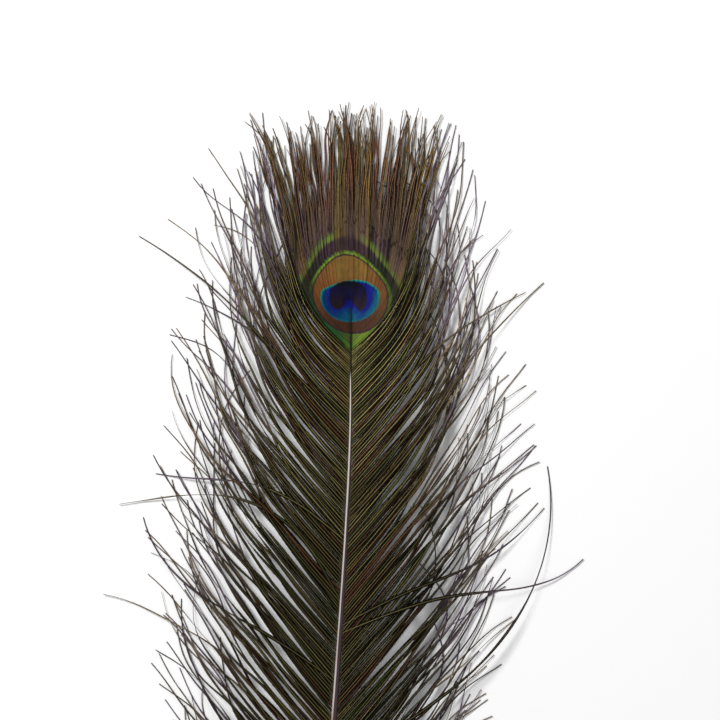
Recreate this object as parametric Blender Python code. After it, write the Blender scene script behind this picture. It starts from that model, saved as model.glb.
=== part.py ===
"""A peacock's eye feather, grown as one piece, lying face up on a flat surface.

The quill runs from its cut end to the middle of the eye and bows up off the
surface. Barbs leave it on both sides, run outwards, bend towards the top and
come down to the surface. Round the eye they hook into one closed vane, which
ends in a fringe of fingers. Below the eye they hang together in loose locks,
and a few stray out sideways. The top of the feather points along +Y and its
face along +Z. Lengths are in metres and angles in degrees.
"""
from typing import NamedTuple

import bmesh
import bpy
import numpy as np

# Driving dimensions.
LENGTH = 0.520            # from the cut end of the quill to the ends of the fringe
SPREAD = 0.234            # between the ends of the widest strays
EYE_HEART = 0.1555        # where the quill ends, measured from the middle of the length
VANE_FOOT = 0.1280        # lowest root of the closed vane
LOCK_FOOT = -0.2220       # lowest root of the loose locks
QUILL_END_RADIUS = 0.0023
QUILL_TIP_RADIUS = 0.00025
QUILL_FLATNESS = 0.9      # height of the quill over its width
QUILL_BLUNTING = 0.72     # width of the cut end over the quill's full width
QUILL_BLUNT_END = 0.002
QUILL_REST = 0.012        # length of quill that lies flat on the surface
ARCH = 0.010              # how far the quill bows up off the surface
SIDE_LEAN = 0.085         # how strongly the quill leans to the left, low down
LEAN_TOP = 0.110          # above this height the quill is straight
LEAN_REACH = 0.093
FIRST_BEND_SLACK = 0.0009  # extra length that a middle barb's first bend takes up

LOCKS_PER_SIDE = 28
LOCK_CROWDING = 1.2       # above 1 the locks stand closer near the eye
FINGERS_PER_SIDE = 9
BARB_THICKNESS = 0.00045  # half the height of a lock at its root
TIP_THICKNESS = 0.00015
VALLEY_THICKNESS = 0.00025
VANE_DROP = 0.0002        # the vane hangs this far below the quill's middle
SPLIT = 0.45              # share of a barb's length that the closed vane takes

QUILL_START = -LENGTH / 2
FRINGE_END = LENGTH / 2
SHAFT_STATIONS = 44
SHAFT_SIDES = 8
SEGMENTS = 9
VANE_COLUMNS = 9
FINE_STEPS = 90


class BarbLaw(NamedTuple):
    """How the barb that leaves the quill at one height runs."""

    root: float    # height of its root
    leave: float   # angle from the quill where it leaves
    run: float     # angle once it has straightened
    end: float     # angle at its tip
    bend: float    # distance over which it straightens
    length: float


BARB_LAWS = (
    BarbLaw(-0.2220, 60, 52, 46, 0.014, 0.022),
    BarbLaw(-0.1900, 50, 46, 42, 0.030, 0.084),
    BarbLaw(-0.1100, 43, 40, 34, 0.064, 0.132),
    BarbLaw(-0.0200, 40, 36, 25, 0.070, 0.150),
    BarbLaw(0.0600, 41, 29, 11, 0.056, 0.146),
    BarbLaw(0.1100, 45, 17, 6, 0.042, 0.140),
    BarbLaw(0.1340, 47, 12, 8, 0.033, 0.130),
    BarbLaw(0.1450, 47, 5, 4, 0.020, 0.117),
    BarbLaw(EYE_HEART, 30, 0, 0, 0.006, FRINGE_END - EYE_HEART + FIRST_BEND_SLACK),
)


class Stray(NamedTuple):
    """A barb that has slipped out of line, by its angles from root to tip."""

    root: float
    side: int
    reach: float
    headings: tuple


STRAYS = (
    Stray(0.010, -1, SPREAD / 2, (28, 30, 48, 70, 90, 98, 99)),
    Stray(-0.006, 1, SPREAD / 2, (66, 69, 74, 84, 86, 72, 45)),
    Stray(-0.002, 1, 0.097, (60, 64, 70, 66, 52, 40)),
    Stray(0.096, -1, 0.107, (46, 44, 42, 52, 60)),
    Stray(0.050, 1, 0.097, (44, 40, 30, 42, 48)),
)

HORN = (0.62, 0.52, 0.44, 1.0)
BARBS = (0.06, 0.045, 0.03, 1.0)


def clear_scene():
    """Removes every object, so that the script gives the same model each time."""
    for old in list(bpy.data.objects):
        bpy.data.objects.remove(old, do_unlink=True)


def material(name, colour, roughness):
    """Makes a plain material."""
    made = bpy.data.materials.new(name)
    made.use_nodes = True
    shader = made.node_tree.nodes["Principled BSDF"]
    shader.inputs["Base Color"].default_value = colour
    shader.inputs["Roughness"].default_value = roughness
    shader.inputs["Metallic"].default_value = 0.0
    return made


def quill_radius(height):
    """Half the quill's width, which thins from the cut end to the eye."""
    share = np.clip((EYE_HEART - height) / (EYE_HEART - QUILL_START), 0.0, 1.0)
    return QUILL_TIP_RADIUS + (QUILL_END_RADIUS - QUILL_TIP_RADIUS) * share ** 0.8


def quill_middle(height):
    """The quill's middle line: it leans left low down and bows up off the surface."""
    below = max(0.0, LEAN_TOP - height)
    across = -SIDE_LEAN * below ** 2 / (below + LEAN_REACH)
    bowed = max(0.0, height - QUILL_START - QUILL_REST) / (EYE_HEART - QUILL_START - QUILL_REST)
    underside = QUILL_FLATNESS * quill_radius(height) * np.cos(np.pi / SHAFT_SIDES)
    return np.array((across, height, underside + ARCH * np.sin(0.82 * np.pi * bowed ** 1.1)))


def law_at(root):
    """The barb law at any height, between those listed."""
    roots = [law.root for law in BARB_LAWS]
    return BarbLaw(*(np.interp(root, roots, values) for values in zip(*BARB_LAWS)))


def settle(share):
    """Falls smoothly from 1 at a barb's root to 0 at its tip."""
    return 1.0 - share * share * (3.0 - 2.0 * share)


def walk(headings, length):
    """Distances gone across and along by a line that follows the headings."""
    angles = np.radians((headings[1:] + headings[:-1]) / 2)
    step = length / (len(headings) - 1)
    across = np.concatenate(([0.0], np.cumsum(np.sin(angles)) * step))
    along = np.concatenate(([0.0], np.cumsum(np.cos(angles)) * step))
    return across, along


def barb(root, side, shares, inset=0.0):
    """Points on the barb at one root, at the given shares of its length."""
    law = law_at(root)
    fine = np.linspace(0.0, 1.0, FINE_STEPS + 1)
    gone = fine * law.length
    headings = law.run + (law.leave - law.run) / (1.0 + (gone / law.bend) ** 3)
    headings = headings + (law.end - law.run) * np.clip((gone - law.bend) / (law.length - law.bend), 0.0, 1.0)
    across, along = walk(headings, law.length)
    start = quill_middle(root)
    offset = inset * quill_radius(root)
    points = np.empty((len(shares), 3))
    points[:, 0] = start[0] + side * (offset + np.interp(shares, fine, across))
    points[:, 1] = start[1] + np.interp(shares, fine, along)
    points[:, 2] = TIP_THICKNESS + (start[2] - TIP_THICKNESS - VANE_DROP) * settle(np.asarray(shares))
    return points


def half_height(root, share):
    """Half the height of a lock, at a share of its length."""
    at_root = min(BARB_THICKNESS, 0.7 * quill_radius(root))
    return at_root + (TIP_THICKNESS - at_root) * share


def raised(point, height):
    """The same point, higher or lower."""
    return (point[0], point[1], point[2] + height)


def on_surface(point):
    """The place on the surface right under a point."""
    return (point[0], point[1], 0.0)


def bridge(mesh, near, far):
    """Walls between two rings of vertices."""
    count = len(near)
    for index in range(count):
        after = (index + 1) % count
        mesh.faces.new((near[index], near[after], far[after], far[index]))


def close_to_point(mesh, ring, point):
    """Closes a ring of vertices to one point."""
    tip = mesh.verts.new(point)
    for index, vertex in enumerate(ring):
        mesh.faces.new((vertex, ring[(index + 1) % len(ring)], tip))


def add_lock(mesh, left, spine, right, heights):
    """Adds one closed lock, from the lines of its two edges and of its ridge."""
    rings = []
    for low, middle, high, height in list(zip(left, spine, right, heights))[:-1]:
        corners = (low, raised(middle, height), high, raised(middle, -height))
        rings.append([mesh.verts.new(corner) for corner in corners])
    mesh.faces.new(rings[0])
    for near, far in zip(rings, rings[1:]):
        bridge(mesh, near, far)
    close_to_point(mesh, rings[-1], on_surface(spine[-1]))


def finish_object(name, mesh, surface):
    """Turns a bmesh into an object with its faces pointing out."""
    bmesh.ops.recalc_face_normals(mesh, faces=mesh.faces)
    data = bpy.data.meshes.new(name)
    mesh.to_mesh(data)
    mesh.free()
    made = bpy.data.objects.new(name, data)
    made.data.materials.append(surface)
    bpy.context.scene.collection.objects.link(made)
    return made


def make_shaft(surface):
    """The quill: an oval tube with a blunt cut end and a fine tip."""
    mesh = bmesh.new()
    full = np.linspace(QUILL_START + QUILL_BLUNT_END, EYE_HEART, SHAFT_STATIONS)
    rings = []
    for height in (QUILL_START, *full):
        middle = quill_middle(height)
        radius = quill_radius(height) * (1.0 if rings else QUILL_BLUNTING)
        ring = []
        for corner in range(SHAFT_SIDES):
            angle = 2.0 * np.pi * (corner + 0.5) / SHAFT_SIDES
            offset = (radius * np.cos(angle), 0.0, radius * QUILL_FLATNESS * np.sin(angle))
            ring.append(mesh.verts.new(middle + offset))
        rings.append(ring)
    mesh.faces.new(rings[0])
    for near, far in zip(rings, rings[1:]):
        bridge(mesh, near, far)
    mesh.faces.new(rings[-1])
    return finish_object("feather", mesh, surface)


def lock_roots():
    """Roots of the loose locks' edges on one side, closer together near the eye."""
    share = (np.arange(LOCKS_PER_SIDE + 1) / LOCKS_PER_SIDE) ** LOCK_CROWDING
    return VANE_FOOT - (VANE_FOOT - LOCK_FOOT) * share


def make_locks(surface):
    """The loose locks below the eye, each one between two neighbouring barbs."""
    mesh = bmesh.new()
    shares = np.linspace(0.0, 1.0, SEGMENTS + 1)
    fill = np.interp(shares, (0.0, 1.0), (0.86, 0.4))
    edges = lock_roots()
    for side in (-1, 1):
        for upper, lower in zip(edges, edges[1:]):
            root = (upper + lower) / 2
            spine = barb(root, side, shares, inset=0.3)
            above = barb(upper, side, shares, inset=0.3)
            below = barb(lower, side, shares, inset=0.3)
            left = spine + (below - spine) * fill[:, None]
            right = spine + (above - spine) * fill[:, None]
            add_lock(mesh, left, spine, right, [half_height(root, share) for share in shares])
    return finish_object("locks", mesh, surface)


def make_strays(surface):
    """The barbs that stick out sideways, each a thin lock of its own."""
    mesh = bmesh.new()
    shares = np.linspace(0.0, 1.0, 2 * SEGMENTS + 1)
    for stray in STRAYS:
        marks = np.linspace(0.0, 1.0, len(stray.headings))
        headings = np.interp(shares, marks, stray.headings)
        start = quill_middle(stray.root)
        start[0] += stray.side * 0.3 * quill_radius(stray.root)
        across, along = walk(headings, 1.0)
        length = (stray.reach - stray.side * start[0]) / across.max()
        spine = np.empty((len(shares), 3))
        spine[:, 0] = start[0] + stray.side * across * length
        spine[:, 1] = start[1] + along * length
        spine[:, 2] = TIP_THICKNESS + (start[2] - TIP_THICKNESS) * settle(shares) + 0.003 * np.sin(np.pi * shares)
        half_width = np.interp(shares, (0.0, 1.0), (0.0011, 0.0004))
        turn = np.radians(headings)
        edge = np.stack((-stray.side * np.cos(turn), np.sin(turn), 0.0 * turn), axis=1) * half_width[:, None]
        heights = [half_height(stray.root, share) for share in shares]
        add_lock(mesh, spine - edge, spine, spine + edge, heights)
    return finish_object("strays", mesh, surface)


def make_vane(surface):
    """The closed vane round the eye, ridged along its barbs, and its fringe of fingers."""
    mesh = bmesh.new()
    last = 4 * FINGERS_PER_SIDE
    columns = np.linspace(0.0, SPLIT, VANE_COLUMNS)
    outer = np.linspace(SPLIT, 1.0, SEGMENTS - 2)
    middle_row = last // 2

    def row_line(row, shares):
        """One line of the vane: even rows are valleys, odd rows are ridges."""
        level = min(row, last - row) / middle_row
        side = int(np.sign(row - middle_row))
        return barb(VANE_FOOT + (EYE_HEART - VANE_FOOT) * level, side, shares)

    tops, bottoms = {}, {}
    for row in range(last + 1):
        height = BARB_THICKNESS if row % 2 else VALLEY_THICKNESS
        for column, point in enumerate(row_line(row, columns)):
            if column == 0 and row > middle_row:
                tops[row, 0] = tops[last - row, 0]
                bottoms[row, 0] = bottoms[last - row, 0]
                continue
            tops[row, column] = mesh.verts.new(raised(point, height))
            bottoms[row, column] = mesh.verts.new(raised(point, -height))
    for column in range(VANE_COLUMNS - 1):
        for row in range(last):
            for layer in (tops, bottoms):
                mesh.faces.new((layer[row, column], layer[row, column + 1],
                                layer[row + 1, column + 1], layer[row + 1, column]))
        for row in (0, last):
            mesh.faces.new((tops[row, column], tops[row, column + 1],
                            bottoms[row, column + 1], bottoms[row, column]))
    edge = VANE_COLUMNS - 1
    fill = np.interp(outer, (SPLIT, 1.0), (0.92, 0.35))
    for row in range(1, last, 2):
        spine = row_line(row, outer)
        left = spine + (row_line(row - 1, outer) - spine) * fill[:, None]
        right = spine + (row_line(row + 1, outer) - spine) * fill[:, None]
        rings = []
        for index in range(1, len(outer) - 1):
            share = (outer[index] - SPLIT) / (1.0 - SPLIT)
            height = BARB_THICKNESS + (TIP_THICKNESS - BARB_THICKNESS) * share
            corners = (left[index], raised(spine[index], height),
                       right[index], raised(spine[index], -height))
            rings.append([mesh.verts.new(corner) for corner in corners])
        low, ridge, high, keel = rings[0]
        mesh.faces.new((tops[row - 1, edge], tops[row, edge], ridge, low))
        mesh.faces.new((tops[row, edge], tops[row + 1, edge], high, ridge))
        mesh.faces.new((bottoms[row + 1, edge], bottoms[row, edge], keel, high))
        mesh.faces.new((bottoms[row, edge], bottoms[row - 1, edge], low, keel))
        mesh.faces.new((tops[row - 1, edge], low, bottoms[row - 1, edge]))
        mesh.faces.new((tops[row + 1, edge], bottoms[row + 1, edge], high))
        for near, far in zip(rings, rings[1:]):
            bridge(mesh, near, far)
        close_to_point(mesh, rings[-1], on_surface(spine[-1]))
    return finish_object("vane", mesh, surface)


def fuse(target, other):
    """Unites another solid with the target and hides it."""
    union = target.modifiers.new(other.name, "BOOLEAN")
    union.operation = "UNION"
    union.solver = "EXACT"
    union.object = other
    other.hide_render = True
    other.display_type = "WIRE"


def main():
    """Builds the feather as one solid."""
    clear_scene()
    horn = material("quill_horn", HORN, 0.45)
    barbs = material("barbs", BARBS, 0.55)
    feather = make_shaft(horn)
    for grown in (make_locks(barbs), make_vane(barbs), make_strays(barbs)):
        fuse(feather, grown)
    feather.data.set_sharp_from_angle(angle=np.radians(40))


main()
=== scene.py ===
"""A peacock's eye feather lying face up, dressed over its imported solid.

One field of barb courses lays out the closed vane round the eye, its fringe
and the loose barbs on both sides of the quill. A Geometry Nodes tree grows
the barbules along each barb. The top of the feather points along +Y and its
face along +Z. Lengths are in metres and angles in degrees, unless a comment
says otherwise.
"""
from __future__ import annotations

import logging
from dataclasses import dataclass, field, fields, replace
from enum import Enum

import bmesh
import bpy
import numpy as np
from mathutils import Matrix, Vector

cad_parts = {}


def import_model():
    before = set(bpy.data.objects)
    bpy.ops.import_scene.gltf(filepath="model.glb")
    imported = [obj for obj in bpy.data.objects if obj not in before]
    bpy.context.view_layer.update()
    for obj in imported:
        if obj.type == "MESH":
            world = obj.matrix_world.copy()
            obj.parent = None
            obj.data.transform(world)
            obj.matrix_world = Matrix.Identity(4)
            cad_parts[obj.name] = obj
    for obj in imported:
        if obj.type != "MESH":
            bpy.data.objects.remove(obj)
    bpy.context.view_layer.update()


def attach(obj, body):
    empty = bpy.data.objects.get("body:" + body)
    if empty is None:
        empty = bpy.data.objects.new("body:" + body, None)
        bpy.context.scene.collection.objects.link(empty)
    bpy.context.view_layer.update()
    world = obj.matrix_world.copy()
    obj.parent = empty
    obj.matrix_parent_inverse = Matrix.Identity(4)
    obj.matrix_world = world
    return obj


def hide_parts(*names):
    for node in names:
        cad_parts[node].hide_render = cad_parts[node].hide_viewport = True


LOG = logging.getLogger("feather")
BODY = "root"
NODE = "feather"

MILLIMETRE = 0.001
FEATHER_SEED = 1711
RESTING_GAP = 0.00012      # lowest mesh above the surface
BARBULE_SINK = 0.00012     # depth at which loose barbules leave their barb's shaft
BARBULE_LINES = 0.31       # millimetres between the barbules that a web shows as lines
SHARP_EDGE = 50.0
BAKE_MAP = "OFBake"
UP = np.array((0.0, 0.0, 1.0))
Colour = tuple[float, float, float]
Span = tuple[float, float]
Links = dict[str | int, object]


class Side(Enum):
    """The two sides of the quill, seen from above with the fringe at the top."""

    LEFT = -1
    RIGHT = 1


class Socket(Enum):
    """The kinds of value that a tree's input may hold."""

    SHAPE = "NodeSocketGeometry"
    NUMBER = "NodeSocketFloat"
    COUNT = "NodeSocketInt"
    FINISH = "NodeSocketMaterial"


def screen_colour(red: int, green: int, blue: int) -> Colour:
    """Turns a screen colour into the linear values that a shader takes.

    Args:
        red: Red from 0 to 255.
        green: Green from 0 to 255.
        blue: Blue from 0 to 255.

    Returns:
        The linear colour.
    """
    shares = np.array((red, green, blue)) / 255.0
    linear = np.where(shares <= 0.04045, shares / 12.92, ((shares + 0.055) / 1.055) ** 2.4)
    return tuple(float(value) for value in linear)


def ease(value: np.ndarray | float, low: float, high: float) -> np.ndarray:
    """Rises smoothly from 0 at low to 1 at high."""
    share = np.clip((np.asarray(value, dtype=float) - low) / (high - low), 0.0, 1.0)
    return share * share * (3.0 - 2.0 * share)


def unit(vectors: np.ndarray) -> np.ndarray:
    """Scales each row to a length of 1."""
    return vectors / np.maximum(np.linalg.norm(vectors, axis=-1, keepdims=True), 1e-12)


def add_numbers(mesh: bpy.types.Mesh, name: str, values: np.ndarray) -> None:
    """Stores one number, or one direction, for each vertex.

    Args:
        mesh: The mesh to store them on.
        name: Name of the attribute.
        values: One row for each vertex.
    """
    kind, key = ("FLOAT_VECTOR", "vector") if values.ndim == 2 else ("FLOAT", "value")
    store = mesh.attributes.new(name, kind, "POINT")
    store.data.foreach_set(key, np.ascontiguousarray(values, dtype=np.float32).ravel())


def stand(name: str, data: bpy.types.ID) -> bpy.types.Object:
    """Puts a mesh, a light or a camera in the scene.

    Args:
        name: Name of its object.
        data: The mesh, light or camera.

    Returns:
        The object.
    """
    made = bpy.data.objects.new(name, data)
    bpy.context.scene.collection.objects.link(made)
    return made


def skin(name: str, points: np.ndarray, faces: list[tuple[int, ...]], finish: bpy.types.Material,
         **numbers: np.ndarray) -> bpy.types.Object:
    """Makes a smooth piece from its points and faces.

    Args:
        name: Name of the piece.
        points: Its vertices, in rows.
        faces: The vertices of each face.
        finish: Its material.
        numbers: What to store for each vertex, by name.

    Returns:
        The piece.
    """
    mesh = bpy.data.meshes.new(name)
    mesh.from_pydata(points.tolist(), [], faces)
    for key, values in numbers.items():
        add_numbers(mesh, key, values)
    mesh.shade_smooth()
    mesh.materials.append(finish)
    return stand(name, mesh)


def tube_walls(first: int, rings: int, sides: int) -> list[tuple[int, ...]]:
    """Lists the faces between the rings of a tube.

    Args:
        first: Number of its first vertex.
        rings: How many rings it has.
        sides: How many vertices each ring has.

    Returns:
        The faces, without the two ends.
    """
    return [
        (near + side, near + sides + side, near + sides + after, near + after)
        for near in range(first, first + (rings - 1) * sides, sides)
        for side, after in enumerate((*range(1, sides), 0))
    ]


def turn_outwards(mesh: bpy.types.Mesh) -> None:
    """Makes every face of closed bodies point out.

    Args:
        mesh: The mesh to put right.
    """
    work = bmesh.new()
    work.from_mesh(mesh)
    bmesh.ops.recalc_face_normals(work, faces=work.faces)
    work.to_mesh(mesh)
    work.free()


def lay_flat_map(mesh: bpy.types.Mesh, gap: float = 1.04, margin: float = 1.02,
                 corner: float = 0.005) -> None:
    """Gives a mesh a map named for baking its finish: its plan, once from above and once from below.

    Args:
        mesh: The mesh to map.
        gap: Distance between the two plans over the width of one.
        margin: Size of the map over the size of what it shows.
        corner: Place of the first plan's corner on the map.
    """
    places = np.empty(len(mesh.vertices) * 3, dtype=np.float32)
    mesh.vertices.foreach_get("co", places)
    places = places.reshape(-1, 3)
    low, wide = places.min(axis=0), float(np.ptp(places[:, 0])) * gap
    span = max(2.0 * wide, float(np.ptp(places[:, 1]))) * margin
    corners = np.empty(len(mesh.loops), dtype=np.int32)
    mesh.loops.foreach_get("vertex_index", corners)
    normals = np.empty(len(mesh.polygons) * 3, dtype=np.float32)
    mesh.polygons.foreach_get("normal", normals)
    sizes = np.empty(len(mesh.polygons), dtype=np.int32)
    mesh.polygons.foreach_get("loop_total", sizes)
    below = np.repeat(normals.reshape(-1, 3)[:, 2] < 0.0, sizes)
    plan = places[corners, :2] - low[:2]
    plan[:, 0] += wide * below
    layer = mesh.uv_layers.new(name=BAKE_MAP)
    layer.data.foreach_set("uv", (plan / span + corner).astype(np.float32).ravel())


@dataclass(frozen=True)
class BarbLaw:
    """How the barb that leaves the quill at one height runs."""

    root: float     # height of its root
    leave: float    # angle from the quill where it leaves
    run: float      # angle once it has straightened
    end: float      # angle at its tip
    bend: float     # distance over which it straightens
    length: float


@dataclass(frozen=True)
class QuillLine:
    """The course of the quill and its thickness."""

    start: float = -0.260          # cut end
    heart: float = 0.1555          # fine end, in the middle of the eye
    end_radius: float = 0.0023
    tip_radius: float = 0.00025
    taper: float = 0.8             # below 1, it thickens fastest near its fine end
    flatness: float = 0.9
    rest: float = 0.012            # length that lies flat on the surface
    arch: float = 0.010            # how far it bows up off the surface
    arch_turn: float = 0.82        # share of a half wave that the bow follows
    arch_skew: float = 1.1
    lean: float = 0.085
    lean_top: float = 0.110
    lean_reach: float = 0.093

    def radius(self, height: np.ndarray | float) -> np.ndarray:
        """Half the quill's width at a height."""
        share = np.clip((self.heart - height) / (self.heart - self.start), 0.0, 1.0)
        return self.tip_radius + (self.end_radius - self.tip_radius) * share ** self.taper

    def middle(self, height: np.ndarray | float) -> np.ndarray:
        """The middle line at one or more heights.

        Args:
            height: Distance along the feather, from its middle.

        Returns:
            The points, in rows.
        """
        height = np.asarray(height, dtype=float)
        below = np.maximum(0.0, self.lean_top - height)
        across = -self.lean * below ** 2 / (below + self.lean_reach)
        free = self.heart - self.start - self.rest
        bowed = np.clip((height - self.start - self.rest) / free, 0.0, 1.2)
        bow = self.arch * np.sin(self.arch_turn * np.pi * bowed ** self.arch_skew)
        return np.stack((across, height, self.flatness * self.radius(height) + bow), axis=-1)


@dataclass(frozen=True)
class BarbField:
    """Where every barb runs, from the laws at a few heights."""

    quill: QuillLine = QuillLine()
    fine_steps: int = 96
    tip_height: float = 0.00015
    top_foot: float = 0.1          # the topmost barb leaves at this share of the quill's radius
    foot_gain: float = 0.65        # and those below the quill's fine end so much further out
    laws: tuple[BarbLaw, ...] = (
        BarbLaw(-0.2220, 60, 52, 46, 0.014, 0.022),
        BarbLaw(-0.1900, 50, 46, 42, 0.030, 0.084),
        BarbLaw(-0.1100, 43, 40, 34, 0.064, 0.132),
        BarbLaw(-0.0200, 40, 36, 25, 0.070, 0.150),
        BarbLaw(0.0600, 41, 29, 11, 0.056, 0.146),
        BarbLaw(0.1100, 45, 17, 6, 0.042, 0.140),
        BarbLaw(0.1340, 47, 12, 8, 0.033, 0.130),
        BarbLaw(0.1450, 47, 5, 4, 0.020, 0.117),
        BarbLaw(0.1555, 30, 0, 0, 0.006, 0.1054),
        BarbLaw(0.1590, 0, 0, 0, 0.006, 0.1050),
    )

    def law_at(self, root: float) -> BarbLaw:
        """The law at any height, between those listed."""
        rows = np.array([(law.root, law.leave, law.run, law.end, law.bend, law.length) for law in self.laws])
        return BarbLaw(*(float(np.interp(root, rows[:, 0], column)) for column in rows.T))

    def course(self, root: float, side: Side, shares: np.ndarray, drift: np.ndarray | None = None,
               stretch: float = 1.0) -> tuple[np.ndarray, np.ndarray]:
        """Follows one barb from its root to its tip.

        Args:
            root: Height of the root on the quill.
            side: Side of the quill.
            shares: Places along the barb, from 0 to 1.
            drift: Degrees by which the barb turns outwards of its law, at each share.
            stretch: Length of this barb over its law's length.

        Returns:
            The points and the directions of travel, in rows.
        """
        law = self.law_at(root)
        length = law.length * stretch
        fine = np.linspace(0.0, 1.0, self.fine_steps + 1)
        gone = fine * length
        headings = law.run + (law.leave - law.run) / (1.0 + (gone / law.bend) ** 3)
        headings = headings + (law.end - law.run) * np.clip((gone - law.bend) / (length - law.bend), 0.0, 1.0)
        if drift is not None:
            headings = headings + np.interp(fine, shares, drift)
        return self.walk(root, side, shares, fine, headings, length)

    def walk(self, root: float, side: Side, shares: np.ndarray, fine: np.ndarray, headings: np.ndarray,
             length: float) -> tuple[np.ndarray, np.ndarray]:
        """Adds up a barb's steps and lets it sink to the surface.

        Args:
            root: Height of the root on the quill.
            side: Side of the quill.
            shares: Places along the barb that are wanted.
            fine: Places along the barb where the headings are given.
            headings: Angles from the quill's direction.
            length: Length of the barb.

        Returns:
            The points and the directions of travel, in rows.
        """
        turn = np.radians((headings[1:] + headings[:-1]) / 2)
        step = np.diff(fine) * length
        across = np.concatenate(([0.0], np.cumsum(np.sin(turn) * step)))
        along = np.concatenate(([0.0], np.cumsum(np.cos(turn) * step)))
        start = self.quill.middle(min(root, self.quill.heart))
        foot = self.top_foot + self.foot_gain * ease(root, self.laws[-1].root, self.quill.heart)
        offset = float(self.quill.radius(root) * foot)
        points = np.empty((len(shares), 3))
        points[:, 0] = start[0] + side.value * (offset + np.interp(shares, fine, across))
        points[:, 1] = start[1] + np.interp(shares, fine, along)
        points[:, 2] = self.tip_height + (start[2] - self.tip_height) * (1.0 - ease(shares, 0.0, 1.0))
        heading = np.radians(np.interp(shares, fine, headings))
        ahead = np.stack((side.value * np.sin(heading), np.cos(heading), 0.0 * heading), axis=1)
        ahead[:, 2] = np.gradient(points[:, 2]) / (np.gradient(shares) * length)
        return points, unit(ahead)


class Ripple:
    """A smooth random line: a sum of a few sine waves."""

    def __init__(self, random: np.random.Generator, wavelengths: tuple[float, ...]) -> None:
        """Draws the phases."""
        self.waves = np.array(wavelengths)
        self.phases = random.uniform(0.0, 2.0 * np.pi, len(wavelengths))

    def at(self, place: np.ndarray | float) -> np.ndarray:
        """The height of the line at a place, about -1 to 1."""
        angles = 2.0 * np.pi * np.asarray(place, dtype=float)[..., None] / self.waves + self.phases
        return np.sin(angles).mean(axis=-1) * 1.4


@dataclass
class Barb:
    """One barb's course, and what sets its looks apart from its neighbours'."""

    points: np.ndarray
    ahead: np.ndarray     # directions of travel
    shares: np.ndarray    # share of its length at each place
    tone: float           # how light it is, from 0 to 1
    hue: float            # where its colour lies between its finish's colours, from 0 to 1


@dataclass
class Guides:
    """Barb courses gathered for the tree that grows barbules on them."""

    flat_drop: float = 0.1        # how far barbules hang below a flat barb, over their length
    edge_drop: float = 0.95       # and how much further below a barb that stands on edge
    edge_room: float = 0.0004
    girth: float = 0.00020        # radius of a loose barb's shaft at its root
    girth_loss: float = 0.7       # share of it that is gone at the tip
    reach_loss: float = 0.68      # share by which the barbules shorten towards the tip
    root_reach: float = 0.6       # length of the first barbules over that of the next ones
    twists: Span = (15.0, 80.0)
    points: list[np.ndarray] = field(default_factory=list)
    values: dict[str, list[np.ndarray]] = field(default_factory=dict)

    def add(self, barb: Barb, tilt: np.ndarray, reach: np.ndarray, girth: np.ndarray) -> None:
        """Adds one barb and keeps it clear of the surface.

        Args:
            barb: The barb.
            tilt: Degrees by which its flat side is turned about its length.
            reach: Length of the barbules at each place.
            girth: Radius of the barb's shaft at each place.
        """
        across = unit(np.cross(barb.ahead, UP))
        up = unit(np.cross(across, barb.ahead))
        turn = np.radians(tilt)[:, None]
        clearance = RESTING_GAP + BARBULE_SINK + girth + self.flat_drop * reach
        clearance = clearance + (self.edge_drop * reach + self.edge_room) * np.abs(np.sin(turn[:, 0]))
        lifted = barb.points.copy()
        lifted[:, 2] = np.maximum(lifted[:, 2], clearance)
        self.points.append(lifted)
        steps = np.linalg.norm(np.diff(barb.points, axis=0), axis=1)
        for key, value in {
            "ahead": barb.ahead, "face": np.cos(turn) * up + np.sin(turn) * across,
            "reach": reach, "girth": girth, "along": barb.shares,
            "gone": np.concatenate(([0.0], np.cumsum(steps))) / MILLIMETRE,
            "tone": np.full(len(steps) + 1, barb.tone), "hue": np.full(len(steps) + 1, barb.hue),
        }.items():
            self.values.setdefault(key, []).append(value)

    def add_loose(self, random: np.random.Generator, points: np.ndarray, ahead: np.ndarray,
                  shares: np.ndarray, reach: float) -> None:
        """Adds a loose barb that twists and thins out towards its tip.

        Args:
            random: Source of its twist and colour.
            points: Places along it.
            ahead: Directions of travel.
            shares: Share of its length at each place.
            reach: Length of its longest barbules.
        """
        wave = random.uniform(*self.twists) * Ripple(random, (0.9, 0.5)).at(shares)
        reaches = reach * (1.0 - self.reach_loss * ease(shares, 0.3, 1.0))
        reaches = reaches * (self.root_reach + (1.0 - self.root_reach) * ease(shares, 0.0, 0.02))
        barb = Barb(points, ahead, shares, random.random(), random.random())
        self.add(barb, wave * ease(shares, 0.12, 0.5), reaches, self.girth * (1.0 - self.girth_loss * shares))

    def mesh(self, name: str) -> bpy.types.Mesh:
        """Makes a mesh of bare edges that carries every value.

        Args:
            name: Name of the mesh.

        Returns:
            The mesh.
        """
        places = np.concatenate(self.points)
        tips = np.cumsum([len(line) for line in self.points]) - 1
        starts = np.delete(np.arange(len(places)), tips)
        made = bpy.data.meshes.new(name)
        made.from_pydata(places.tolist(), np.stack((starts, starts + 1), axis=1).tolist(), [])
        for key, rows in self.values.items():
            add_numbers(made, key, np.concatenate(rows))
        return made


def open_socket(sockets: bpy.types.bpy_prop_collection, key: str | int) -> bpy.types.NodeSocket:
    """Finds one of a node's inputs or outputs.

    Args:
        sockets: The node's inputs or outputs.
        key: Its number, or its name among those that the node's options leave open.

    Returns:
        The socket.
    """
    if isinstance(key, int):
        return sockets[key]
    return next(socket for socket in sockets if socket.enabled and socket.name == key)


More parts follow.
